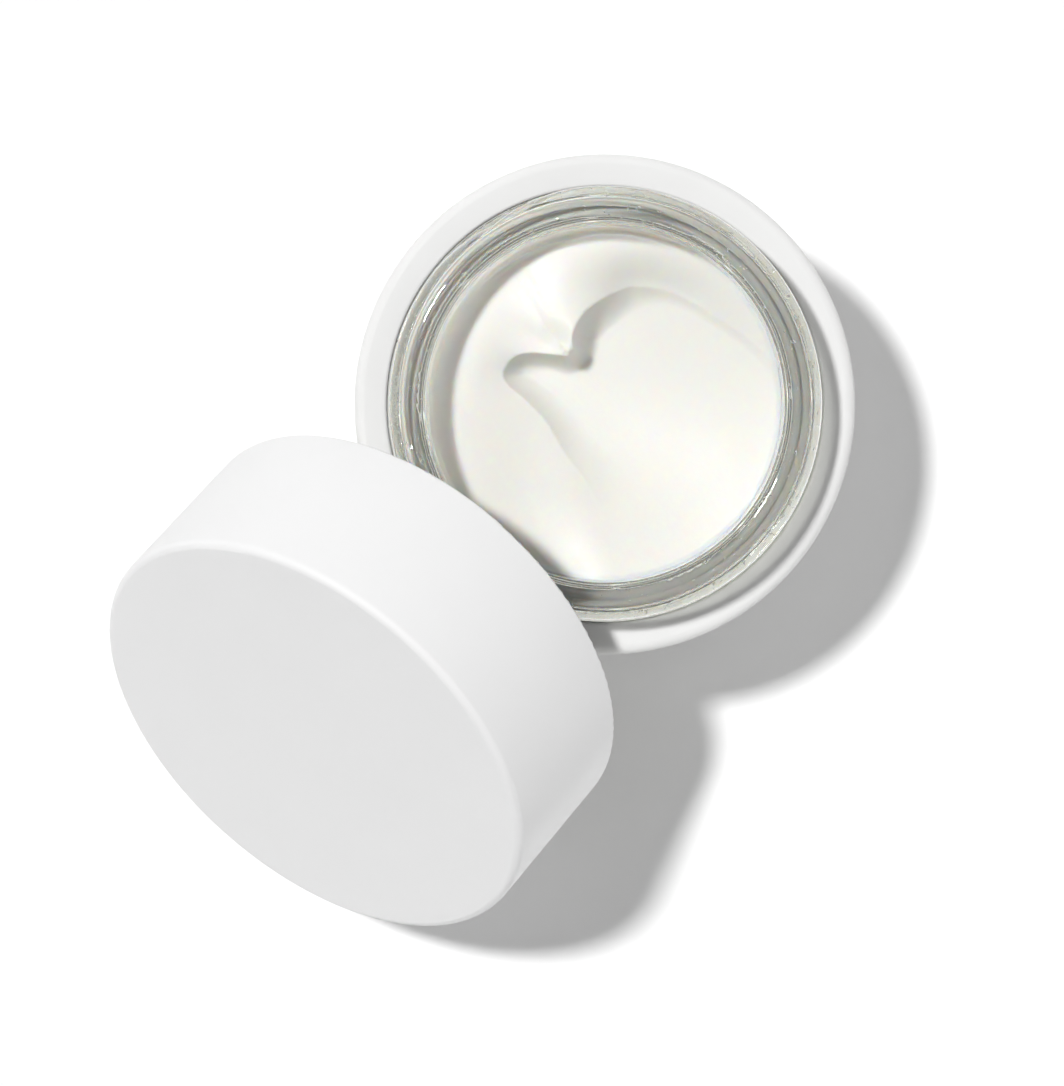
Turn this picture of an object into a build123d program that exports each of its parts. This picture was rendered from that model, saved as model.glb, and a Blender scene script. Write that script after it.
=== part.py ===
"""Cosmetic cream jar, open, with its lid taken off and leaning on the rim. Millimetres, +Z up.

The origin is the centre of the jar's foot, on the surface it stands on. The jar's axis is Z.
The lid leans on the jar's -Y side, and YZ is the plane of symmetry of the pose.
"""
from build123d import *
from math import asin, atan2, ceil, cos, degrees, exp, hypot, radians, sin, sqrt
import os

# ---- the neck, from which the other diameters follow ----
neck_radius = 24.5
neck_wall = 3.4
neck_height = 10.9           # the rim above the shell's shoulder
rim_outer_round = 1.3
rim_inner_round = 1.2
shoulder_gap = 0.35          # the thread passes the shoulder's hole by this much
shoulder_ledge = 3.95        # the shoulder's width round its hole

# ---- outer shell: the white body of the jar ----
shell_height = 32.4
shell_wall = 1.8
shoulder_thickness = 1.5
shoulder_edge_round = 1.2
shell_foot_round = 0.5
shell_lift = 0.35            # the shell's lower edge stops this far above the foot

# ---- glass jar inside it ----
glass_gap = 0.25             # radial air gap between glass and shell
glass_wall = 4.2
glass_base = 4.4
glass_heel_round = 4.0
glass_shoulder_round = 2.0
cavity_heel_round = 7.0
cavity_shoulder_height = 4.0 # height over which the bore widens below the neck
cavity_shoulder_round = 3.0
cavity_shoulder_drop = 3.0   # from the glass shoulder down to where the bore starts to narrow
push_up_height = 0.8         # hollow under the glass base
push_up_radius = 15.0
push_up_slope = 3.0          # width of its sloping edge
push_up_round = 2.0

# ---- neck finish: one helical ridge, and a bead below it ----
thread_depth = 1.2
thread_width = 2.5
thread_pitch = 4.23
thread_turns = 1.1
thread_start = 2.3           # from the rim down to the middle of the ridge's upper end
thread_heading = 143.3       # where the ridge's lower end lies, in degrees from +X
thread_fade = 40.0           # degrees of turn over which a ridge rises from its wall
bead_depth = 1.2
bead_width = 1.8
bead_lift = 0.4              # the bead's underside above the shoulder

# ---- base cap: closes the shell from below and carries the glass ----
cap_gap = 0.1                # radial gap to the shell's wall
cap_plate = 1.7
cap_skirt_wall = 1.3
cap_skirt_height = 3.2
cap_snap_depth = 0.35        # the snap ring's groove in the shell's wall
cap_snap_height = 1.0
cap_snap_clearance = 0.08
foot_recess = 0.5            # the plate stands back from the foot ring by this much
foot_width = 3.2
foot_round = 0.6
cap_ribs = 8
cap_rib_thickness = 1.0
cap_rib_height = 0.8
cap_rib_inner = 17.5

# ---- lid: the outer cover ----
lid_height = 21.1
lid_wall = 1.6
lid_top_thickness = 1.9
lid_top_round = 0.9
lid_mouth_round = 0.35
lid_ribs = 12
lid_rib_thickness = 1.0
lid_rib_inner = 8.0
lid_seat_gap = 0.4           # closed, the lid stops this far above the shoulder

# ---- threaded insert pressed into the lid ----
lid_thread_gap = 0.77        # radial gap between the neck's thread and the insert's bore
insert_fit = 0.03            # radial gap between the insert and the lid's bore
insert_wall = 1.5
insert_top = 1.2
insert_setback = 0.15        # the insert's edge stands back from the lid's mouth
insert_edge_round = 0.3
insert_thread_depth = 1.4
insert_thread_width = 2.2
insert_thread_turns = 1.25
insert_thread_start = 2.6    # from the insert's edge to the middle of the ridge's first end
insert_snap_depth = 0.3
insert_snap_height = 1.4
insert_snap_place = 5.0      # from the mouth to the middle of the snap ring
insert_snap_clearance = 0.05
insert_keys = 4              # pairs of lugs that hold a lid rib between them
insert_key_height = 1.6
insert_key_thickness = 1.2
insert_key_length = 5.0
insert_key_gap = 0.05
retainer_depth = 0.9         # ring that keeps the seal disc from falling out
retainer_height = 0.7

# ---- seal disc ----
seal_thickness = 1.2
seal_gap = 0.3               # the disc floats in the insert by this much all round
seal_ring_width = 3.4        # raised ring that meets the glass rim
seal_ring_height = 0.25

# ---- cream ----
cream_gap = 0.03             # the cream stands off the glass by this much
scoop_heading = 41.3         # turn of the scoop's own axes about the jar's axis, in degrees
scoop_drop = 13.8            # from the rim down to the scoop's floor
scoop_soft = 1.5             # how round the scoop's floor is
scoop_slope = 0.265          # rise per millimetre away from the scoop's centre
scoop_twist = 0.075          # how much steeper it is along one diameter than across it
scoop_turn = 60.0            # heading of that diameter in the scoop's own axes
crest_blur = 0.6             # length along the crest over which its height evens out
surface_step = 1.4           # spacing of the points that carry the cream's surface
surface_tolerance = 0.2
scoop_centre = (-1.0, 0.5)
scoop_unit = 1.0             # length that one unit of the crest's rows and of the centre stands for
# The crest round the scoop, in the scoop's own axes, anticlockwise from the near side: x, y, its
# rise above the scoop, the width of the wall below it, the height of the cream behind it above
# the scoop's floor, and how far behind the crest that is reached.
crest = (
    (2.0, -23.0, 0.0, 5.0, 4.5, 6.0),
    (0.8, -15.5, 0.0, 5.0, 3.1, 7.0),
    (-0.8, -11.6, 0.3, 4.6, 2.5, 7.0),
    (-2.5, -8.8, 0.9, 4.4, 2.2, 8.0),
    (-4.8, -5.8, 1.5, 3.8, 2.4, 8.0),
    (-7.0, -2.1, 2.1, 3.2, 2.9, 8.0),
    (-9.6, 0.4, 2.9, 3.0, 3.7, 7.5),
    (-11.6, 2.2, 3.7, 2.8, 4.5, 7.0),
    (-12.4, 3.8, 4.2, 2.6, 5.1, 7.0),
    (-11.2, 5.1, 4.9, 2.5, 5.5, 7.0),
    (-8.7, 5.8, 5.7, 2.4, 5.7, 7.0),
    (-5.6, 5.9, 7.0, 2.4, 5.9, 6.0),
    (-4.1, 6.8, 7.4, 2.6, 6.2, 5.0),
    (-3.9, 8.3, 6.6, 3.1, 6.4, 5.0),
    (-2.7, 10.6, 5.1, 3.5, 6.4, 5.0),
    (-0.2, 12.6, 3.3, 3.3, 6.1, 5.0),
    (3.4, 13.8, 1.5, 2.4, 5.5, 5.0),
    (8.4, 13.1, 0.5, 1.5, 5.1, 4.0),
    (13.0, 10.6, 0.3, 1.2, 4.9, 4.0),
    (18.2, 6.8, 0.2, 1.2, 4.7, 4.0),
    (23.5, 0.5, 0.2, 1.2, 4.5, 4.0),
)

# ---- the lid's pose ----
lean_over_rim = 4.35         # the lid's mouth reaches this far above the rim
lean_gap = 0.1               # between the lid's mouth and the rim, before their edges are rounded

# ---- worked out from the sizes above ----
neck_bore_radius = neck_radius - neck_wall
rim_height = shell_height + neck_height
shoulder_hole = neck_radius + max(thread_depth, bead_depth) + shoulder_gap
shell_radius = shoulder_hole + shoulder_ledge
shell_bore = shell_radius - shell_wall
shoulder_under = shell_height - shoulder_thickness
glass_radius = shell_bore - glass_gap
glass_shoulder = shoulder_under - glass_gap
cavity_radius = glass_radius - glass_wall
cap_radius = shell_bore - cap_gap
cap_plate_top = foot_recess + cap_plate
cap_skirt_top = foot_recess + cap_skirt_height
glass_seat = cap_plate_top + cap_rib_height
cavity_floor = glass_seat + glass_base
cavity_shoulder = glass_shoulder - cavity_shoulder_drop

insert_bore = neck_radius + thread_depth + lid_thread_gap
insert_outer = insert_bore + insert_wall
lid_bore = insert_outer + insert_fit
lid_radius = lid_bore + lid_wall
lid_ceiling = lid_height - lid_top_thickness
seal_face = rim_height - shell_height - lid_seat_gap
seal_back = seal_face + seal_thickness
insert_ceiling = seal_back + seal_gap
insert_height = insert_ceiling + insert_top
lean = degrees(asin((rim_height + lean_over_rim) / (2 * lid_radius)))   # the lid's axis from vertical
scoop_floor = rim_height - scoop_drop


def pole_of_lean():
    """Distance from the pole on the jar's axis to the lid's mouth, and the pole's height.

    Seen from the pole the glass rim and the insert's edge lie on one sphere, so that the lid can
    swing from its lean until it is square over the neck and never touch the jar.
    """
    across, up = sin(radians(lean)), cos(radians(lean))
    edge_height = lid_radius * across + insert_setback * up
    above = rim_height - edge_height
    edge_radius = insert_bore - lean_gap
    spread = above**2 + neck_radius**2 - edge_radius**2
    reach = (above * up + sqrt((above * up) ** 2 + across**2 * spread)) / across**2
    return reach - insert_setback, edge_height - reach * up


pole_reach, pole_height = pole_of_lean()
# The lid's own frame: Z runs from its mouth to its top, from the centre of its mouth.
lid_place = Pos(0, 0, pole_height) * Rot(X=lean) * Pos(0, 0, pole_reach)


def turned(*corners):
    """A solid of revolution about Z, from the corners (radius, height, round) of its profile."""
    outline = FilletPolyline(
        *[(radius, height) for radius, height, _ in corners],
        radius=[rounding for _, _, rounding in corners],
        close=True,
    )
    return revolve(Plane.XZ * make_face(outline), Axis.Z)


def helical_ridge(wall_radius, depth, width, turns, start):
    """A rounded thread ridge on a round wall, outwards for a positive depth, else inwards.

    It winds upwards from start, and rises out of the wall and sinks back into it at its ends.
    """
    steps = ceil(turns * 18)
    whole_angle = turns * 360
    root_radius = wall_radius - depth / 3
    sections = []
    for step in range(steps + 1):
        angle = whole_angle * step / steps
        rise = min(1.0, angle / thread_fade, (whole_angle - angle) / thread_fade)
        crest_radius = wall_radius + depth * max(rise, 0.05)
        outwards = Vector(cos(radians(angle)), sin(radians(angle)), 0)
        middle = Vector(0, 0, start + thread_pitch * angle / 360)
        half = Vector(0, 0, width / 2)
        low = middle + outwards * root_radius - half
        high = middle + outwards * root_radius + half
        arc = ThreePointArc(low, middle + outwards * crest_radius, high)
        sections.append(Wire([arc, Line(high, low)]))
    return Solid.make_loft(sections)


def spokes(count, inner, outer, thickness, low, high, offset=0.0):
    """Radial ribs about Z from the inner to the outer radius, each shifted sideways by offset."""
    middle = Pos((inner + outer) / 2, offset, (low + high) / 2)
    rib = middle * Box(outer - inner, thickness, high - low)
    return [Rot(Z=360 * turn / count) * rib for turn in range(count)]


def outer_shell():
    """White body: a cup open below, with the neck's hole in its shoulder and a snap groove."""
    body = turned(
        (shoulder_hole, shell_height, 0.4),
        (shell_radius, shell_height, shoulder_edge_round),
        (shell_radius, shell_lift, shell_foot_round),
        (shell_bore, shell_lift, 0.3),
        (shell_bore, shoulder_under, 1.0),
        (shoulder_hole, shoulder_under, 0.3),
    )
    groove_low = cap_skirt_top - cap_snap_height - cap_snap_clearance
    groove_high = cap_skirt_top + cap_snap_clearance
    groove_bottom = shell_bore + cap_snap_depth
    groove = turned(
        (shell_bore - cap_gap, groove_low, 0),
        (groove_bottom, groove_low, 0.15),
        (groove_bottom, groove_high, 0.15),
        (shell_bore - cap_gap, groove_high, 0),
    )
    return body - groove


def base_cap():
    """Plug snapped into the shell: a foot ring, a plate, a snap ring, and ribs under the glass."""
    foot_inner = cap_radius - foot_width
    skirt_inner = cap_radius - cap_skirt_wall
    cup = turned(
        (0, foot_recess, 0),
        (foot_inner, foot_recess, 0.2),
        (foot_inner + foot_recess / 2, 0, 0.2),
        (cap_radius, 0, foot_round),
        (cap_radius, cap_skirt_top, 0.3),
        (skirt_inner, cap_skirt_top, 0.3),
        (skirt_inner, cap_plate_top, 0.5),
        (0, cap_plate_top, 0),
    )
    snap_radius = shell_bore + cap_snap_depth - cap_snap_clearance
    snap_low = cap_skirt_top - cap_snap_height
    snap = turned(
        (cap_radius - cap_snap_depth, snap_low, 0),
        (snap_radius, snap_low, 0.15),
        (snap_radius, cap_skirt_top - cap_snap_height / 2, 0.15),
        (cap_radius - cap_snap_depth, cap_skirt_top - cap_snap_clearance, 0),
    )
    ribs = spokes(
        cap_ribs,
        cap_rib_inner,
        skirt_inner + 0.1,
        cap_rib_thickness,
        cap_plate_top - 0.1,
        glass_seat,
    )
    return cup + snap + ribs


def cavity_corners(gap):
    """Profile of the glass jar's inside from its floor to its bore, drawn in by a gap."""
    return (
        (0, cavity_floor + gap, 0),
        (cavity_radius - gap, cavity_floor + gap, cavity_heel_round),
        (cavity_radius - gap, cavity_shoulder, cavity_shoulder_round),
        (neck_bore_radius - gap, cavity_shoulder + cavity_shoulder_height, cavity_shoulder_round),
    )


def glass_jar():
    """Clear glass jar: thick base with a push-up, wide body, and a neck with thread and bead."""
    body = turned(
        (0, glass_seat + push_up_height, 0),
        (push_up_radius - push_up_slope, glass_seat + push_up_height, push_up_round),
        (push_up_radius, glass_seat, 0.8),
        (glass_radius, glass_seat, glass_heel_round),
        (glass_radius, glass_shoulder, glass_shoulder_round),
        (neck_radius, glass_shoulder, 0),
        (neck_radius, rim_height, rim_outer_round),
        (neck_bore_radius, rim_height, rim_inner_round),
        *reversed(cavity_corners(0)),
    )
    bead_low = shell_height + bead_lift
    bead_outer = neck_radius + bead_depth
    bead_inner = neck_radius - bead_depth / 2
    bead = turned(
        (bead_inner, bead_low, 0),
        (bead_outer, bead_low, bead_width * 0.45),
        (bead_outer, bead_low + bead_width, bead_width * 0.45),
        (bead_inner, bead_low + bead_width, 0),
    )
    ridge_start = rim_height - thread_start - thread_turns * thread_pitch
    ridge = helical_ridge(neck_radius, thread_depth, thread_width, thread_turns, ridge_start)
    return body + bead + Rot(Z=thread_heading) * ridge


def smooth(share):
    """0 to 1 with level ends."""
    share = min(max(share, 0.0), 1.0)
    return share * share * (3 - 2 * share)


def crest_stations(count=240):
    """Points along the crest: place, direction, and the other values of its rows."""
    rows = [[value * scoop_unit for value in row] for row in crest]
    line = Spline(*[(x, y) for x, y, *_ in rows])
    marks = [line.param_at_point((x, y)) for x, y, *_ in rows]
    stations = []
    for step in range(count + 1):
        along = step / count
        span = max(i for i, mark in enumerate(marks[:-1]) if mark <= along + 1e-9)
        share = (along - marks[span]) / (marks[span + 1] - marks[span])
        values = [a + (b - a) * share for a, b in zip(rows[span][2:], rows[span + 1][2:])]
        place, heading = line @ along, line % along
        stations.append((place.X, place.Y, heading.X, heading.Y, *values))
    return stations


def cream_height(x, y, stations):
    """Height of the cream at a point given in the scoop's own axes."""
    squares = [(x - s[0]) ** 2 + (y - s[1]) ** 2 for s in stations]
    nearest = min(squares)
    distance = sqrt(nearest)
    place_x, place_y, along_x, along_y = stations[squares.index(nearest)][:4]
    behind = along_x * (y - place_y) > along_y * (x - place_x)
    spread = (crest_blur + distance / 2) ** 2
    weights = [exp((nearest - square) / spread) for square in squares]
    values = zip(*[station[4:] for station in stations])
    rise, width, level, back = [sum(w * v for w, v in zip(weights, row)) / sum(weights) for row in values]
    across, up = x - scoop_centre[0] * scoop_unit, y - scoop_centre[1] * scoop_unit
    slope = scoop_slope + scoop_twist * cos(2 * (atan2(up, across) - radians(scoop_turn)))
    scoop = scoop_floor - scoop_soft + hypot(scoop_soft, slope * hypot(across, up))
    if behind:
        edge = scoop + rise
        return edge + (scoop_floor + level - edge) * smooth(distance / back)
    return scoop + rise * (1 - min(distance / width, 1)) ** 2


def cream():
    """Filling with a spatula's scoop in it: a wide basin, its steep crest, and the crest's peak."""
    filling = turned(
        *cavity_corners(cream_gap),
        (neck_bore_radius - cream_gap, rim_height, 0),
        (0, rim_height, 0),
    )
    stations = crest_stations()
    reach = ceil(neck_bore_radius + 1)
    count = round(2 * reach / surface_step)
    marks = [-reach + 2 * reach * step / count for step in range(count + 1)]
    grid = [[Vector(x, y, cream_height(x, y, stations)) for x in marks] for y in marks]
    surface = Face.make_surface_from_array_of_points(grid, tol=surface_tolerance, min_deg=3)
    below = Solid.extrude(surface, Vector(0, 0, -rim_height))
    return filling & Rot(Z=scoop_heading) * below


def lid_shell():
    """Lid's outer cover: a plain cup with a rounded top edge, ribs under its top, snap groove."""
    cover = turned(
        (0, lid_height, 0),
        (lid_radius, lid_height, lid_top_round),
        (lid_radius, 0, lid_mouth_round),
        (lid_bore, 0, lid_mouth_round),
        (lid_bore, lid_ceiling, 1.0),
        (0, lid_ceiling, 0),
    )
    ribs = spokes(
        lid_ribs,
        lid_rib_inner,
        lid_bore + 0.1,
        lid_rib_thickness,
        insert_height,
        lid_ceiling + 0.1,
    )
    half = insert_snap_height / 2 + insert_snap_clearance
    groove = turned(
        (lid_bore - 0.5, insert_snap_place - half, 0),
        (lid_bore + insert_snap_depth, insert_snap_place - half, 0.1),
        (lid_bore + insert_snap_depth, insert_snap_place + half, 0.1),
        (lid_bore - 0.5, insert_snap_place + half, 0),
    )
    return lid_place * (cover + ribs - groove)


def lid_insert():
    """Threaded cup pressed into the lid: thread inside, snap ring and rib keys outside."""
    cup = turned(
        (0, insert_height, 0),
        (insert_outer, insert_height, 0.8),
        (insert_outer, insert_setback, insert_edge_round),
        (insert_bore, insert_setback, insert_edge_round),
        (insert_bore, insert_ceiling, 0.3),
        (0, insert_ceiling, 0),
    )
    retainer_high = seal_face - seal_ring_height - seal_gap
    retainer = turned(
        (insert_bore + 0.2, retainer_high - retainer_height, 0),
        (insert_bore - retainer_depth, retainer_high - retainer_height, 0.2),
        (insert_bore - retainer_depth, retainer_high, 0.2),
        (insert_bore + 0.2, retainer_high, 0),
    )
    snap_radius = lid_bore + insert_snap_depth - insert_snap_clearance
    half = insert_snap_height / 2
    snap = turned(
        (insert_outer - 0.2, insert_snap_place - half, 0),
        (snap_radius, insert_snap_place - half + 0.4, 0.1),
        (snap_radius, insert_snap_place + half, 0.1),
        (insert_outer - 0.2, insert_snap_place + half, 0),
    )
    beside_rib = (lid_rib_thickness + insert_key_thickness) / 2 + insert_key_gap
    key_outer = lid_bore - 2.0
    keys = [
        spokes(
            insert_keys,
            key_outer - insert_key_length,
            key_outer,
            insert_key_thickness,
            insert_height - 0.1,
            insert_height + insert_key_height,
            side * beside_rib,
        )
        for side in (-1, 1)
    ]
    ridge = helical_ridge(
        insert_bore,
        -insert_thread_depth,
        insert_thread_width,
        insert_thread_turns,
        insert_setback + insert_thread_start,
    )
    return lid_place * (cup + retainer + snap + keys[0] + keys[1] + ridge)


def seal_disc():
    """Loose liner in the insert, with a raised ring where the glass rim meets it."""
    seal_radius = insert_bore - seal_gap
    ring_middle = (neck_radius + neck_bore_radius) / 2
    ring_inner = ring_middle - seal_ring_width / 2
    ring_outer = ring_middle + seal_ring_width / 2
    ring_face = seal_face - seal_ring_height
    disc = turned(
        (0, seal_face, 0),
        (ring_inner, seal_face, 0),
        (ring_inner + seal_ring_height, ring_face, 0),
        (ring_outer - seal_ring_height, ring_face, 0),
        (ring_outer, seal_face, 0),
        (seal_radius, seal_face, 0.2),
        (seal_radius, seal_back, 0.2),
        (0, seal_back, 0),
    )
    return lid_place * disc


nodes = {
    "outer_shell": outer_shell,
    "base_cap": base_cap,
    "glass_jar": glass_jar,
    "cream": cream,
    "lid_shell": lid_shell,
    "lid_insert": lid_insert,
    "seal_disc": seal_disc,
}

os.makedirs("parts", exist_ok=True)
for name, make in nodes.items():
    export_step(make(), f"parts/{name}.step")
print(f"lid pivot: pole at z {pole_height:.3f}, {pole_reach:.3f} from the lid's mouth")
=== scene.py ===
"""Looks of an open cosmetic cream jar whose lid leans on its rim: finishes, the cream, light and camera.

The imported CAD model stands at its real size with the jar's axis on Z. Lengths here are in
millimetres in the numbers and in metres in Blender: MM turns the one into the other.
"""

import math

import bpy
import numpy as np
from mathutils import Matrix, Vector


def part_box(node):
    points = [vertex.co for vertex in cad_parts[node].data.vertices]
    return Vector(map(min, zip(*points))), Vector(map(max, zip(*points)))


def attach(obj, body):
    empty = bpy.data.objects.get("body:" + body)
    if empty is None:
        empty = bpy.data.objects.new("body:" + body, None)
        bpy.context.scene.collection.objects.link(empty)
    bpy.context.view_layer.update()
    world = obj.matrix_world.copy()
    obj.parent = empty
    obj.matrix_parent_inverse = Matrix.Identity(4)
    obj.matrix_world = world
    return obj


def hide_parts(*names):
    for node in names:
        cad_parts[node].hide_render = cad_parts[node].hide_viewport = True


MM = 0.001

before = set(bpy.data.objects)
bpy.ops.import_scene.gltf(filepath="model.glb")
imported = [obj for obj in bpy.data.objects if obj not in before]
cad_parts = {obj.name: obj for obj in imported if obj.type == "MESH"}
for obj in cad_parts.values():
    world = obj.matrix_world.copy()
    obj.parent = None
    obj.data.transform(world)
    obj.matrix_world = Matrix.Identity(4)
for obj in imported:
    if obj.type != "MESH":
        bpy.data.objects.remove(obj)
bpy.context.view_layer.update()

# ---- the shot: the camera looks straight down, turned about the vertical ----
SHOT_HEADING = 41.3          # degrees from +X to the picture's right-hand side
CAMERA_PLACE = (2.2, -9.0, 666.7)
CAMERA_LENS = 175.7          # mm, for a 36 mm sensor along the picture's longer side
CAMERA_SENSOR = 36.0
CAMERA_SHIFT = (-0.034, -0.0645)
CAMERA_CLIP = (0.05, 20.0)   # m

# ---- light: a sun, an even fill, and a card that lifts the far sides ----
LIGHT_TRAVEL = (0.423, 0.059, -1.0)
LIGHT_STRENGTH = 2.5
LIGHT_SIZE = 5.4             # degrees across, which sets how soft the shadow's edge is
FILL_STRENGTH = 0.27
FILL_SLANT = (0.6, 0.6)      # how much brighter the fill is from +X and from +Y
CARD_PLACE = (150.0, -10.0, 45.0)   # opposite the light
CARD_SIZE = (140.0, 80.0)
CARD_POWER = 0.015           # W
FLOOR_LIFT = 0.03            # how much lighter the white floor looks than it lights
FLOOR_REACH = 2000.0
FLOOR_HEIGHT = -0.02         # just under the foot, so that the two don't share a plane
LIGHT_BOUNCES = {"max": 32, "diffuse": 8, "glossy": 24, "transmission": 32}   # light winds through the glass

# ---- the glass, and what is seen through it: not how light behaves ----
CREAM_PAINTED_SHADE = 0.3            # painted shade: how much darker the cream's side is painted where it is seen through the glass
GLASS_TINT = (252, 253, 250)
GLASS_SHADE = 0.02           # share of the indirect light that pieces round the glass get through it
GLASS_SHADE_INSIDE = 0.55    # share of that loss for the cream inside it
GLASS_INSIDE = (22.0, 23.5)  # radii between which that share rises to the whole
SHADOW_NEAR = (0.03, 0.03, 0.03, 1)      # light that the shadow keeps where it enters the glass: near side
SHADOW_FAR_LOW = (0.9, 0.9, 0.86, 1)     # the side away from the light, low down
SHADOW_FAR_HIGH = (0.01, 0.01, 0.01, 1)  # and at the rim
SHADOW_FAR_HEIGHTS = (34.5, 40.0)        # heights between which it goes from the one to the other
SHADOW_FAR_REACH = (-14.0, 6.0)          # distances along the light's travel that part near from far
SHADOW_LEAVING = (0.85, 0.86, 0.84, 1)   # and where the light leaves the glass

# ---- cream: a scoop taken with a spatula, seen in the scoop's own axes ----
SCOOP_FLOOR = 30.3
SCOOP_CENTRE = (-1.0, 0.5)
SCOOP_SOFT = 1.5             # how round the bottom of the scoop is
SCOOP_SLOPE = 0.19           # rise per millimetre away from the centre
SCOOP_TWIST = 0.05           # how much steeper the scoop is along one diameter than across it
SCOOP_TURN = 60.0            # heading of that diameter
# The crest round the scoop, anticlockwise from the near side: x, y, its rise over the scoop,
# the width of the wall below it, the cream's level behind it, and how far behind that is.
CREST = (
    (2.0, -23.0, 0.0, 5.0, 33.3, 6.0),
    (0.8, -15.5, 0.0, 5.0, 32.2, 7.0),
    (-0.8, -11.6, 0.3, 4.6, 31.9, 7.0),
    (-2.5, -8.8, 0.9, 4.4, 31.7, 8.0),
    (-4.8, -5.8, 1.5, 3.8, 31.9, 8.0),
    (-7.0, -2.1, 2.1, 3.2, 32.4, 8.0),
    (-9.6, 0.6, 2.5, 3.2, 33.2, 7.5),
    (-11.6, 2.3, 2.8, 3.4, 34.0, 7.0),
    (-12.15, 3.7, 3.1, 3.2, 34.8, 7.0),
    (-11.4, 5.1, 4.0, 2.7, 35.4, 8.0),
    (-10.3, 5.85, 5.0, 2.1, 35.8, 8.5),
    (-8.8, 6.05, 5.7, 1.8, 36.2, 9.0),
    (-6.6, 5.9, 6.3, 1.7, 36.6, 9.0),
    (-5.3, 5.75, 6.6, 1.8, 36.85, 9.0),
    (-4.8, 5.65, 6.7, 2.0, 36.9, 9.0),
    (-4.4, 5.8, 6.7, 2.2, 36.95, 9.0),
    (-3.85, 6.5, 6.8, 2.6, 37.0, 9.0),
    (-3.8, 6.9, 6.8, 2.8, 37.05, 9.0),
    (-3.9, 7.8, 6.8, 3.2, 37.1, 9.0),
    (-3.7, 8.8, 6.8, 3.6, 37.15, 9.0),
    (-3.1, 10.0, 6.4, 3.9, 37.2, 9.0),
    (-2.1, 11.3, 5.6, 4.0, 37.2, 8.0),
    (-0.8, 12.25, 4.6, 3.9, 37.2, 7.0),
    (1.1, 13.3, 2.9, 3.5, 37.0, 6.0),
    (3.5, 14.0, 1.6, 2.8, 36.4, 6.0),
    (8.0, 13.3, 0.6, 1.4, 35.4, 5.0),
    (13.0, 10.6, 0.4, 1.2, 34.7, 5.0),
    (18.2, 6.8, 0.3, 1.2, 34.1, 4.0),
    (23.5, 0.5, 0.2, 1.2, 33.5, 4.0),
)
CREST_BLUR = 0.4             # length along the crest over which its values even out, on the crest itself
PEAK_HOLLOW = (-6.0, 7.9, 2.6, 0.35)  # x, y, radius and depth of the dish behind the peak
PEAK_LIP = (-4.3, 6.3, 2.0, 0.3)      # x, y, radius and height of the curl along the peak's edge
LIP_WIDTH = 0.3
FOLD = ((-9.7, 16.8), (-6.2, 9.8))    # ends of the crease where the spatula's last lap lies on the first
FOLD_STEP = 0.12
FOLD_WIDTH = 1.0
FOLD_RETURN = 5.0            # width over which the cream beside the crease comes back to its level
FOLD_FADES = (1.5, 4.0)      # lengths over which the crease begins and ends
EDGE_WIDTH = 0.5             # width over which dish and crease start behind the crest
CLIMB = 0.5                  # how far the cream climbs the glass
CLIMB_WIDTH = 0.7
CLIMB_WAVES = ((0.22, 5, 1.0), (0.16, 13, 0.0), (0.12, 29, 2.0))   # height, count and phase of each wave
SMEAR = (102.0, 38.0, 20.15, 1.7, 0.4)   # heading, half the spread, radius, height and width of its rim
SMEAR_PLATEAU = 1.6          # how soon the smear reaches its full height
SMEAR_WAVES = ((0.12, 9, 0.0), (0.06, 23, 1.0))      # unevenness of its height
SMEAR_WANDER = ((0.14, 6, 0.5), (0.05, 17, 0.0))     # and of its radius
CREAM_RINGS = 130
CREAM_SPOKES = 640
HEIGHT_PARTS = 40            # parts in which the heights are worked out, to save memory
WETTING = 0.06               # the cream wets the glass: it reaches this far past its CAD solid
BORE_RADIUS = 21.13          # the cream's radius in the neck
ABOVE_CREAM = 40.0           # any height above the cream's edge
CAVITY_SHOULDER = (27.65, 31.65)   # heights between which the jar's inside narrows to the neck
CAVITY_SHOULDER_ROUND = 3.0
CAVITY_HEEL_ROUND = 7.0

# ---- moulded plastics: node, material, the mottle's two colours, roughness, depth of the grain,
# ---- and its painted glow and what it keeps of its colour under painted shade where it's seen through the
# glass
PLASTICS = (
    # outer_shell has painted shade and base_cap a painted glow, both only where seen through the glass
    ("outer_shell", "white_shell", (241, 241, 240), (239, 239, 238), 0.55, 0.004, 0.0, 0.7),
    ("base_cap", "white_base", (232, 232, 230), (229, 229, 227), 0.55, 0.01, 0.55, 1.0),
    ("lid_shell", "white_lid", (247, 247, 247), (246, 246, 246), 0.5, 0.004, 0.0, 1.0),
    ("lid_insert", "white_insert", (238, 238, 235), (235, 235, 232), 0.45, 0.008, 0.0, 1.0),
)
BLACK = (0.0, 0.0, 0.0, 1.0)
WHITE = (1.0, 1.0, 1.0, 1.0)


# ---------------------------------------------------------------- small helpers

def srgb(red, green, blue):
    """Scene-linear colour of an 8-bit display colour."""
    channels = []
    for value in (red, green, blue):
        share = value / 255
        channels.append(share / 12.92 if share <= 0.04045 else ((share + 0.055) / 1.055) ** 2.4)
    return (*channels, 1.0)


def math_node(tree, operation, first, second):
    """A Math node of two values, each a number or a socket."""
    made = tree.nodes.new("ShaderNodeMath")
    made.operation = operation
    for socket, value in zip(made.inputs, (first, second)):
        if isinstance(value, float):
            socket.default_value = value
        else:
            tree.links.new(value, socket)
    return made.outputs[0]


def mesh_piece(name, points, faces, smooth=True):
    """A mesh object from points in millimetres."""
    mesh = bpy.data.meshes.new(name)
    mesh.from_pydata([tuple(c * MM for c in p) for p in points], [], faces)
    mesh.validate()
    mesh.polygons.foreach_set("use_smooth", [smooth] * len(mesh.polygons))
    mesh.update()
    piece = bpy.data.objects.new(name, mesh)
    bpy.context.scene.collection.objects.link(piece)
    return piece


# ---------------------------------------------------------------- node materials

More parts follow.
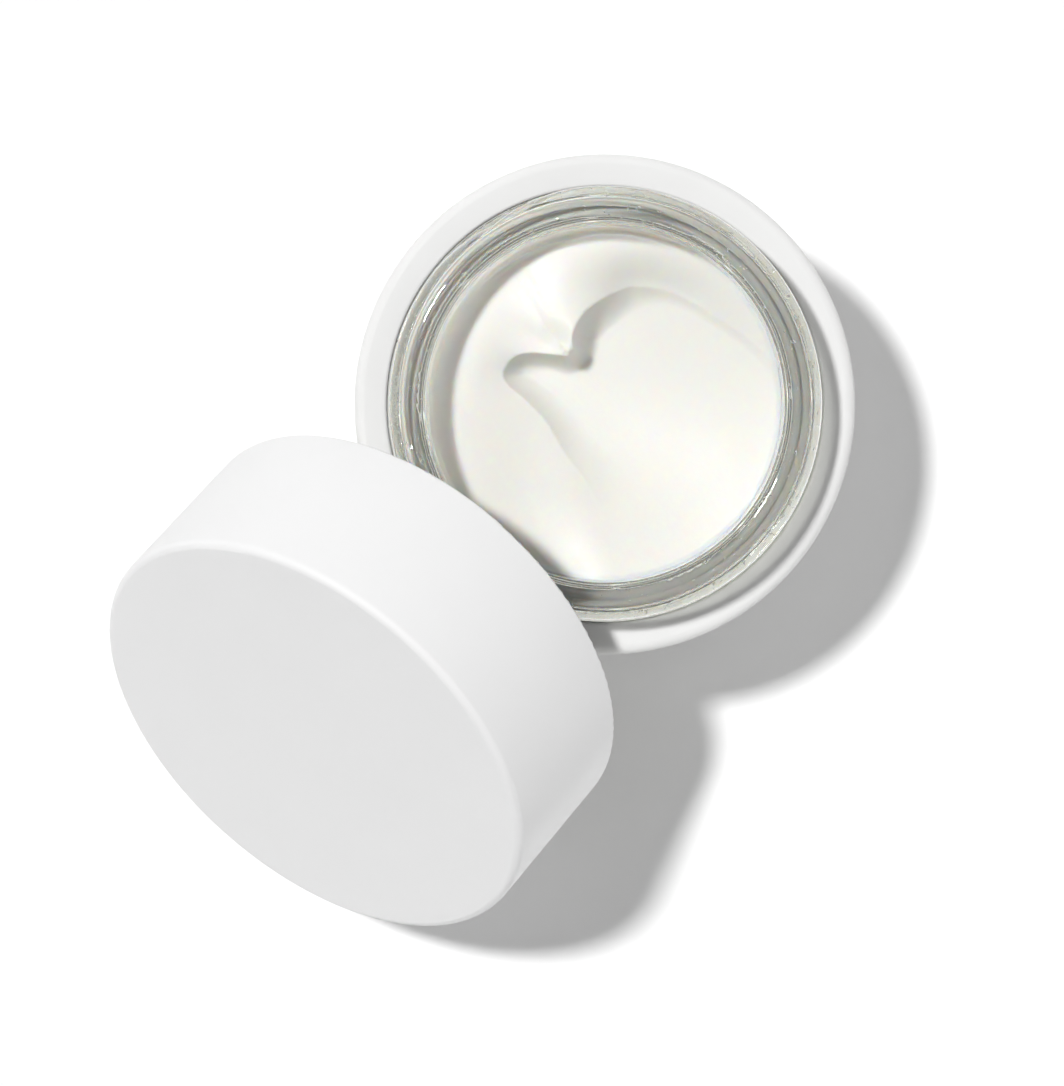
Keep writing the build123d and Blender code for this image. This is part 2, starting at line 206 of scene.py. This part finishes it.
class Finish:
    """A material under construction: short names for the nodes that the finishes share."""

    def __init__(self, name):
        self.material = bpy.data.materials.new(name)
        self.material.use_nodes = True
        self.tree = self.material.node_tree
        self.tree.nodes.clear()
        self.output = self.node("ShaderNodeOutputMaterial")
        self.shader = self.node("ShaderNodeBsdfPrincipled")
        self.link(self.shader.outputs[0], self.output.inputs["Surface"])
        self.place = self.node("ShaderNodeTexCoord").outputs["Object"]

    def node(self, kind, **settings):
        made = self.tree.nodes.new(kind)
        for key, value in settings.items():
            setattr(made, key, value)
        return made

    def link(self, source, target):
        self.tree.links.new(source, target)

    def set(self, **sockets):
        """Fixed values on the shader's own sockets."""
        for key, value in sockets.items():
            self.shader.inputs[key.replace("_", " ").title().replace("Ior", "IOR")].default_value = value

    def noise(self, scale, detail, roughness=0.5):
        made = self.node("ShaderNodeTexNoise")
        made.inputs["Scale"].default_value = scale
        made.inputs["Detail"].default_value = detail
        made.inputs["Roughness"].default_value = roughness
        self.link(self.place, made.inputs["Vector"])
        return made.outputs[0]

    def spread(self, value, low, high, source=(0.3, 0.7)):
        """A 0 to 1 value stretched to a range."""
        made = self.node("ShaderNodeMapRange")
        made.inputs["From Min"].default_value = source[0]
        made.inputs["From Max"].default_value = source[1]
        made.inputs["To Min"].default_value = low
        made.inputs["To Max"].default_value = high
        self.link(value, made.inputs["Value"])
        return made.outputs["Result"]

    def tint(self, value, first, second):
        """Colour between two by a 0 to 1 value."""
        made = self.node("ShaderNodeMix", data_type="RGBA")
        for socket, colour in ((made.inputs["A"], first), (made.inputs["B"], second)):
            if isinstance(colour, tuple):
                socket.default_value = colour
            else:
                self.link(colour, socket)
        self.link(value, made.inputs["Factor"])
        return made.outputs["Result"]

    def bump(self, value, height, normal=None):
        """A normal bumped by a value, over any other normal."""
        made = self.node("ShaderNodeBump")
        made.inputs["Distance"].default_value = height * MM
        made.inputs["Strength"].default_value = 1.0
        self.link(value, made.inputs["Height"])
        if normal:
            self.link(normal, made.inputs["Normal"])
        return made.outputs[0]

    def through_glass(self):
        """1 where the piece is seen through the glass, else 0."""
        depth = self.node("ShaderNodeLightPath").outputs["Transmission Depth"]
        return self.spread(depth, 0.0, 1.0, (0.5, 1.5))

    def painted_shade_through_glass(self, colour, loss):
        """Painted shade: a colour that loses a share of itself where the piece is seen through the glass."""
        return self.tint(self.times(self.through_glass(), loss), colour, BLACK)

    def times(self, first, second):
        return math_node(self.tree, "MULTIPLY", first, second)

    def vector_math(self, operation, first, second=None):
        """A Vector Math node of a socket and a fixed vector."""
        made = self.node("ShaderNodeVectorMath", operation=operation)
        self.link(first, made.inputs[0])
        if second is not None:
            made.inputs[1].default_value = second
        return made

    def to(self, socket, value):
        """A node's value led to a socket of the shader."""
        self.link(value, self.shader.inputs[socket])


def moulded_plastic(name, colour, second, roughness, grain, painted_glow, shade):
    """White moulded plastic: a soft sheen, a faint mottle, and the mould's fine grain.

    Seen through the glass, it can have a painted glow, standing in for the light that winds down the glass,
    or painted shade.
    """
    finish = Finish(name)
    finish.set(ior=1.5, specular_ior_level=0.3)
    mottle = finish.noise(90.0, 4.0)
    plain = finish.tint(finish.spread(mottle, 0.0, 1.0), colour, second)
    # painted shade where the piece is seen through the glass
    if shade < 1:
        plain = finish.painted_shade_through_glass(plain, 1.0 - shade)
    finish.to("Base Color", plain)
    # painted glow: the piece emits light where it is seen through the glass, though it is no lamp
    if painted_glow > 0:
        finish.set(emission_color=colour)
        finish.to("Emission Strength", finish.times(finish.through_glass(), painted_glow))
    patches = finish.noise(160.0, 2.0)
    finish.to("Roughness", finish.spread(patches, roughness - 0.04, roughness + 0.04))
    fine = finish.noise(5200.0, 2.0)
    finish.to("Normal", finish.bump(fine, grain))
    return finish.material


def glass_shadow(finish):
    """Transparent shader for shadow rays: the light that is left as they enter and leave the glass."""
    travel = Vector((LIGHT_TRAVEL[0], LIGHT_TRAVEL[1], 0)).normalized()
    far_side = finish.vector_math("DOT_PRODUCT", finish.place, travel).outputs["Value"]
    share = finish.spread(far_side, 0.0, 1.0, [distance * MM for distance in SHADOW_FAR_REACH])
    place = finish.node("ShaderNodeSeparateXYZ")
    finish.link(finish.place, place.inputs[0])
    height = finish.spread(place.outputs["Z"], 0.0, 1.0, [level * MM for level in SHADOW_FAR_HEIGHTS])
    entering = finish.tint(share, SHADOW_NEAR, finish.tint(height, SHADOW_FAR_LOW, SHADOW_FAR_HIGH))
    side = finish.node("ShaderNodeNewGeometry").outputs["Backfacing"]
    clear = finish.node("ShaderNodeBsdfTransparent")
    finish.link(finish.tint(side, entering, SHADOW_LEAVING), clear.inputs["Color"])
    return clear.outputs[0]


def glass_finish():
    """Clear soda glass: smooth, faintly olive through its length, with seeds and mould marks.

    Light that has bounced off something outside is cut as it enters, or the shoulder's shadow is too light.
    """
    finish = Finish("clear_glass")
    finish.set(roughness=0.01, ior=1.5, transmission_weight=1.0)
    path = finish.node("ShaderNodeLightPath")
    entered = finish.node("ShaderNodeMath", operation="MULTIPLY_ADD", use_clamp=True)
    # Bounces off matt surfaces, less two for each time through the glass, held between 0 and 1.
    entered.inputs[1].default_value = -2.0
    finish.link(path.outputs["Transmission Depth"], entered.inputs[0])
    finish.link(path.outputs["Diffuse Depth"], entered.inputs[2])
    across = finish.vector_math("MULTIPLY", finish.place, (1, 1, 0)).outputs[0]
    radius = finish.vector_math("LENGTH", across).outputs["Value"]
    outer = finish.spread(radius, GLASS_SHADE_INSIDE, 1.0, [edge * MM for edge in GLASS_INSIDE])
    shaded = finish.times(entered.outputs[0], outer)
    finish.to("Base Color", finish.tint(shaded, srgb(*GLASS_TINT), (*[GLASS_SHADE] * 3, 1)))
    waves = finish.noise(260.0, 2.0)
    seeds = finish.noise(1400.0, 1.0)
    marks = finish.bump(waves, 0.05)
    finish.to("Normal", finish.bump(finish.spread(seeds, 0.0, 1.0, (0.66, 0.74)), 0.03, marks))
    either = finish.node("ShaderNodeMixShader")
    finish.link(path.outputs["Is Shadow Ray"], either.inputs[0])
    finish.link(finish.shader.outputs[0], either.inputs[1])
    finish.link(glass_shadow(finish), either.inputs[2])
    finish.link(either.outputs[0], finish.output.inputs["Surface"])
    return finish.material


def cream_finish():
    """Face cream: warm white, light passes a little way into it, with a moist skin."""
    finish = Finish("face_cream")
    finish.set(
        ior=1.42,
        subsurface_weight=1.0,
        subsurface_scale=1.1 * MM,
        subsurface_radius=(1.0, 0.7, 0.42),
    )
    drift = finish.noise(70.0, 3.0)
    plain = finish.tint(finish.spread(drift, 0.0, 1.0), srgb(242, 241, 236), srgb(241, 240, 234))
    # painted shade: the cream's side is darker where it is seen through the glass
    finish.to("Base Color", finish.painted_shade_through_glass(plain, CREAM_PAINTED_SHADE))
    damp = finish.noise(240.0, 3.0)
    finish.to("Roughness", finish.spread(damp, 0.4, 0.5))
    whipped = finish.noise(420.0, 5.0, 0.6)
    finish.to("Normal", finish.bump(whipped, 0.05))
    return finish.material


def foam_finish():
    """Foamed liner: matt, with closed cells."""
    finish = Finish("foam_seal")
    finish.set(ior=1.48)
    cells = finish.node("ShaderNodeTexVoronoi")
    cells.inputs["Scale"].default_value = 2600.0
    finish.link(finish.place, cells.inputs["Vector"])
    mottle = finish.noise(300.0, 3.0)
    plain = finish.tint(finish.spread(mottle, 0.0, 1.0), srgb(240, 240, 238), srgb(230, 230, 227))
    finish.to("Base Color", plain)
    finish.to("Roughness", finish.spread(mottle, 0.6, 0.75))
    finish.to("Normal", finish.bump(cells.outputs["Distance"], 0.08))
    return finish.material


def dress(node, material):
    """Gives a CAD node its finish."""
    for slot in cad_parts[node].material_slots:
        slot.material = material


# ---------------------------------------------------------------- cream

def smooth(share):
    """An even start and end for a share that goes from 0 to 1."""
    share = np.clip(share, 0.0, 1.0)
    return share * share * (3 - 2 * share)


def waves_round(heading, waves):
    """Sum of waves round the jar's axis, each given by its height, count and phase."""
    return sum(height * np.sin(count * heading + phase) for height, count, phase in waves)


def crest_line(per_span=16):
    """Points of a smooth curve through the crest's rows, with the rows' other values along it."""
    rows = np.array(CREST, float)
    rows = np.vstack([2 * rows[0] - rows[1], rows, 2 * rows[-1] - rows[-2]])
    share = np.linspace(0, 1, per_span, endpoint=False)[:, None]
    spans = []
    for a, b, c, d in zip(rows, rows[1:], rows[2:], rows[3:]):
        cubic = (-a + 3 * b - 3 * c + d) * share**3
        square = (2 * a - 5 * b + 4 * c - d) * share**2
        spans.append(0.5 * (2 * b + (c - a) * share + square + cubic))
    return np.vstack([*spans, rows[-2][None]])


def along_crest(x, y, line):
    """Signed distance from the crest, positive on the scoop's side, and the crest's values there."""
    squares = (x[:, None] - line[:, 0]) ** 2 + (y[:, None] - line[:, 1]) ** 2
    nearest = squares.argmin(1)
    distance = np.sqrt(squares.min(1))
    heading = np.gradient(line[:, :2], axis=0)[nearest]
    offset_x, offset_y = x - line[nearest, 0], y - line[nearest, 1]
    behind = heading[:, 0] * offset_y > heading[:, 1] * offset_x
    spread = (CREST_BLUR + distance) ** 2
    steps = np.hypot(*np.gradient(line[:, :2], axis=0).T)
    weights = steps * np.exp((squares.min(1)[:, None] - squares) / spread[:, None])
    total = weights.sum(1)
    # The distance behind the crest is a soft one: the cream would crease where two parts are as near.
    soft = np.sqrt(np.maximum(distance**2 - spread * np.log(total / np.sqrt(np.pi * spread)), 0))
    return np.where(behind, -soft, distance), weights @ line[:, 2:] / total[:, None]


def scoop_height(x, y):
    """The scoop's own bowl, before its crest is added."""
    across, up = x - SCOOP_CENTRE[0], y - SCOOP_CENTRE[1]
    heading = np.arctan2(up, across) - math.radians(SCOOP_TURN)
    slope = SCOOP_SLOPE + SCOOP_TWIST * np.cos(2 * heading)
    return SCOOP_FLOOR + np.sqrt(SCOOP_SOFT**2 + slope**2 * (across**2 + up**2)) - SCOOP_SOFT


def behind_peak(x, y, distance):
    """How much lower the dish and the crease make the cream behind the crest, and its lip higher."""
    centre_x, centre_y, radius, depth = PEAK_HOLLOW
    dish = depth * (1 - smooth(np.hypot(x - centre_x, y - centre_y) / radius))
    (start_x, start_y), (end_x, end_y) = FOLD
    length = math.hypot(end_x - start_x, end_y - start_y)
    along = ((x - start_x) * (end_x - start_x) + (y - start_y) * (end_y - start_y)) / length
    across = ((x - start_x) * (end_y - start_y) - (y - start_y) * (end_x - start_x)) / length
    fade = smooth(along / FOLD_FADES[0] + 0.5) * smooth((length - along) / FOLD_FADES[1])
    crease = FOLD_STEP * smooth(0.5 - across / FOLD_WIDTH) * (1 - smooth(-across / FOLD_RETURN)) * fade
    centre_x, centre_y, radius, height = PEAK_LIP
    near = 1 - smooth(np.hypot(x - centre_x, y - centre_y) / radius)
    lip = height * near * np.exp(-(((distance - LIP_WIDTH) / LIP_WIDTH) ** 2))
    return (dish + crease) * smooth(distance / EDGE_WIDTH) - lip


def at_the_glass(x, y):
    """The cream's climb up the glass, uneven all the way round."""
    uneven = 0.5 + waves_round(np.arctan2(y, x), CLIMB_WAVES)
    return CLIMB * uneven * smooth(1 - (BORE_RADIUS - np.hypot(x, y)) / CLIMB_WIDTH)


def smeared_rim(x, y):
    """The rim that the spatula left where it wiped the glass."""
    middle, half, radius, height, width = SMEAR
    heading = np.arctan2(y, x)
    window = smooth(SMEAR_PLATEAU * (1 - np.abs(np.degrees(heading) - middle) / half))
    uneven = 0.82 + waves_round(heading, SMEAR_WAVES)
    wander = waves_round(heading, SMEAR_WANDER)
    return height * window * uneven * np.exp(-(((np.hypot(x, y) - radius - wander) / width) ** 2))


def cream_height(x, y):
    """Height of the cream at points given in the scoop's own axes."""
    line = crest_line()
    heights = []
    for part_x, part_y in zip(np.array_split(x, HEIGHT_PARTS), np.array_split(y, HEIGHT_PARTS)):
        distance, values = along_crest(part_x, part_y, line)
        rise, width, level, back = values.T
        scoop = scoop_height(part_x, part_y)
        wall = scoop + rise * (1 - np.clip(distance / width, 0, 1)) ** 2
        edge = scoop + rise
        lip = edge + (level - edge) * smooth(-distance / back)
        heights.append(np.where(distance >= 0, wall, lip - behind_peak(part_x, part_y, -distance)))
    return np.concatenate(heights) + np.maximum(at_the_glass(x, y), smeared_rim(x, y))


def round_corner(before, corner, after, radius, steps=8):
    """Points of the arc that rounds a corner of an outline."""
    corner = np.array(corner, float)
    first, last = np.array(before, float) - corner, np.array(after, float) - corner
    first, last = first / np.linalg.norm(first), last / np.linalg.norm(last)
    half = math.acos(float(first @ last)) / 2
    middle = (first + last) / np.linalg.norm(first + last)
    centre = corner + middle * radius / math.sin(half)
    start, end = corner + first * radius / math.tan(half), corner + last * radius / math.tan(half)
    turn = math.pi - 2 * half
    points = []
    for step in range(steps + 1):
        share = step / steps
        blend = math.sin((1 - share) * turn), math.sin(share * turn)
        spoke = (start - centre) * blend[0] + (end - centre) * blend[1]
        points.append(tuple(centre + spoke / math.sin(turn)))
    return points


def cream_piece():
    """The cream: its scooped top in fine rings, and a wall that follows the jar's inside."""
    low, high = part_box("cream")
    floor, widest = low.z / MM - WETTING, high.x / MM + WETTING
    angles = np.linspace(0, 2 * math.pi, CREAM_SPOKES, endpoint=False)
    radii = np.linspace(0, BORE_RADIUS, CREAM_RINGS + 1)[1:]
    x = np.concatenate([[0.0], np.outer(radii, np.cos(angles)).ravel()])
    y = np.concatenate([[0.0], np.outer(radii, np.sin(angles)).ravel()])
    top = cream_height(x, y)
    points = list(zip(x, y, top))
    corners = [
        (BORE_RADIUS, ABOVE_CREAM),
        (BORE_RADIUS, CAVITY_SHOULDER[1]),
        (widest, CAVITY_SHOULDER[0]),
        (widest, floor),
        (0.0, floor),
    ]
    outline = [
        *round_corner(*corners[0:3], CAVITY_SHOULDER_ROUND),
        *round_corner(*corners[1:4], CAVITY_SHOULDER_ROUND),
        *round_corner(*corners[2:5], CAVITY_HEEL_ROUND, 12),
    ]
    for radius, height in outline:
        points += [(radius * math.cos(a), radius * math.sin(a), height) for a in angles]
    bottom = len(points)
    points.append((0.0, 0.0, floor))
    faces = [(0, 1 + i, 1 + (i + 1) % CREAM_SPOKES) for i in range(CREAM_SPOKES)]
    rings = CREAM_RINGS + len(outline)
    for ring in range(rings - 1):
        start = 1 + ring * CREAM_SPOKES
        for i in range(CREAM_SPOKES):
            j = (i + 1) % CREAM_SPOKES
            faces.append((start + i, start + CREAM_SPOKES + i, start + CREAM_SPOKES + j, start + j))
    last = 1 + (rings - 1) * CREAM_SPOKES
    faces += [(last + i, bottom, last + (i + 1) % CREAM_SPOKES) for i in range(CREAM_SPOKES)]
    turn = math.radians(SHOT_HEADING)
    cos, sin = math.cos(turn), math.sin(turn)
    points = [(px * cos - py * sin, px * sin + py * cos, pz) for px, py, pz in points]
    piece = mesh_piece("cream_with_scoop", points, faces)
    piece.data.materials.append(cream_finish())
    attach(piece, "jar")
    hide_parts("cream")


# ---------------------------------------------------------------- floor, light, camera

def make_floor():
    """Plain white floor that keeps the shadow."""
    sides = ((-1, -1), (1, -1), (1, 1), (-1, 1))
    points = [(FLOOR_REACH * across, FLOOR_REACH * up, FLOOR_HEIGHT) for across, up in sides]
    floor = mesh_piece("floor", points, [(0, 1, 2, 3)], smooth=False)
    finish = Finish("floor_white")
    finish.set(specular_ior_level=0.0, roughness=1.0)
    paper = finish.spread(finish.noise(40.0, 2.0), 0.0, 1.0)
    finish.to("Base Color", finish.tint(paper, (0.97, 0.97, 0.97, 1), (0.975, 0.975, 0.975, 1)))
    finish.set(emission_color=WHITE)
    camera_ray = finish.node("ShaderNodeLightPath").outputs["Is Camera Ray"]
    finish.to("Emission Strength", finish.spread(camera_ray, 0.0, FLOOR_LIFT, (0.0, 1.0)))
    floor.data.materials.append(finish.material)


def make_world():
    """Even fill all round; seen directly, in gloss or through glass it is plain white."""
    world = bpy.data.worlds.new("studio")
    bpy.context.scene.world = world
    world.use_nodes = True
    tree = world.node_tree
    background = tree.nodes["Background"]
    background.inputs["Color"].default_value = WHITE
    path = tree.nodes.new("ShaderNodeLightPath").outputs
    shown = math_node(tree, "MAXIMUM", path["Is Glossy Ray"], path["Is Transmission Ray"])
    first_seen = math_node(tree, "LESS_THAN", path["Diffuse Depth"], 0.5)
    shown = math_node(tree, "MULTIPLY", shown, first_seen)
    seen = math_node(tree, "MAXIMUM", shown, path["Is Camera Ray"])
    direction = tree.nodes.new("ShaderNodeSeparateXYZ")
    tree.links.new(tree.nodes.new("ShaderNodeTexCoord").outputs["Generated"], direction.inputs[0])
    across, up = [
        math_node(tree, "MULTIPLY", direction.outputs[axis], FILL_STRENGTH * slant)
        for axis, slant in zip("XY", FILL_SLANT)
    ]
    fill = math_node(tree, "ADD", math_node(tree, "ADD", across, up), FILL_STRENGTH)
    strength = tree.nodes.new("ShaderNodeMapRange")
    tree.links.new(fill, strength.inputs["To Min"])
    strength.inputs["To Max"].default_value = 1.0
    tree.links.new(seen, strength.inputs["Value"])
    tree.links.new(strength.outputs["Result"], background.inputs["Strength"])


def make_light():
    """The sun that throws the shadows."""
    lamp = bpy.data.lights.new("key", "SUN")
    lamp.energy = LIGHT_STRENGTH
    lamp.angle = math.radians(LIGHT_SIZE)
    key = bpy.data.objects.new("key", lamp)
    key.rotation_euler = Vector(LIGHT_TRAVEL).to_track_quat("-Z", "Y").to_euler()
    bpy.context.scene.collection.objects.link(key)


def make_card():
    """A faint card opposite the sun, unseen in gloss and glass."""
    lamp = bpy.data.lights.new("card", "AREA")
    lamp.shape = "RECTANGLE"
    lamp.size, lamp.size_y = [length * MM for length in CARD_SIZE]
    lamp.energy = CARD_POWER
    card = bpy.data.objects.new("card", lamp)
    card.location = [c * MM for c in CARD_PLACE]
    card.rotation_euler = (-card.location).to_track_quat("-Z", "Y").to_euler()
    card.visible_glossy = False
    card.visible_transmission = False
    bpy.context.scene.collection.objects.link(card)


def make_camera():
    """The photograph's camera, looking straight down."""
    data = bpy.data.cameras.new("camera")
    data.lens = CAMERA_LENS
    data.sensor_width = CAMERA_SENSOR
    data.shift_x, data.shift_y = CAMERA_SHIFT
    data.clip_start, data.clip_end = CAMERA_CLIP
    camera = bpy.data.objects.new("camera", data)
    camera.location = [c * MM for c in CAMERA_PLACE]
    camera.rotation_euler = (0, 0, math.radians(SHOT_HEADING))
    bpy.context.scene.collection.objects.link(camera)
    bpy.context.scene.camera = camera


for kind, count in LIGHT_BOUNCES.items():
    setattr(bpy.context.scene.cycles, f"{kind}_bounces", count)
# The glass passes on the light that it bends and mirrors.
bpy.context.scene.cycles.caustics_refractive = True
bpy.context.scene.cycles.caustics_reflective = True
make_camera()
make_world()
make_light()
make_card()
make_floor()
cream_piece()
for node, name, colour, second, *rest in PLASTICS:
    dress(node, moulded_plastic(name, srgb(*colour), srgb(*second), *rest))
dress("glass_jar", glass_finish())
dress("seal_disc", foam_finish())

bpy.context.scene.view_settings.view_transform = "Standard"
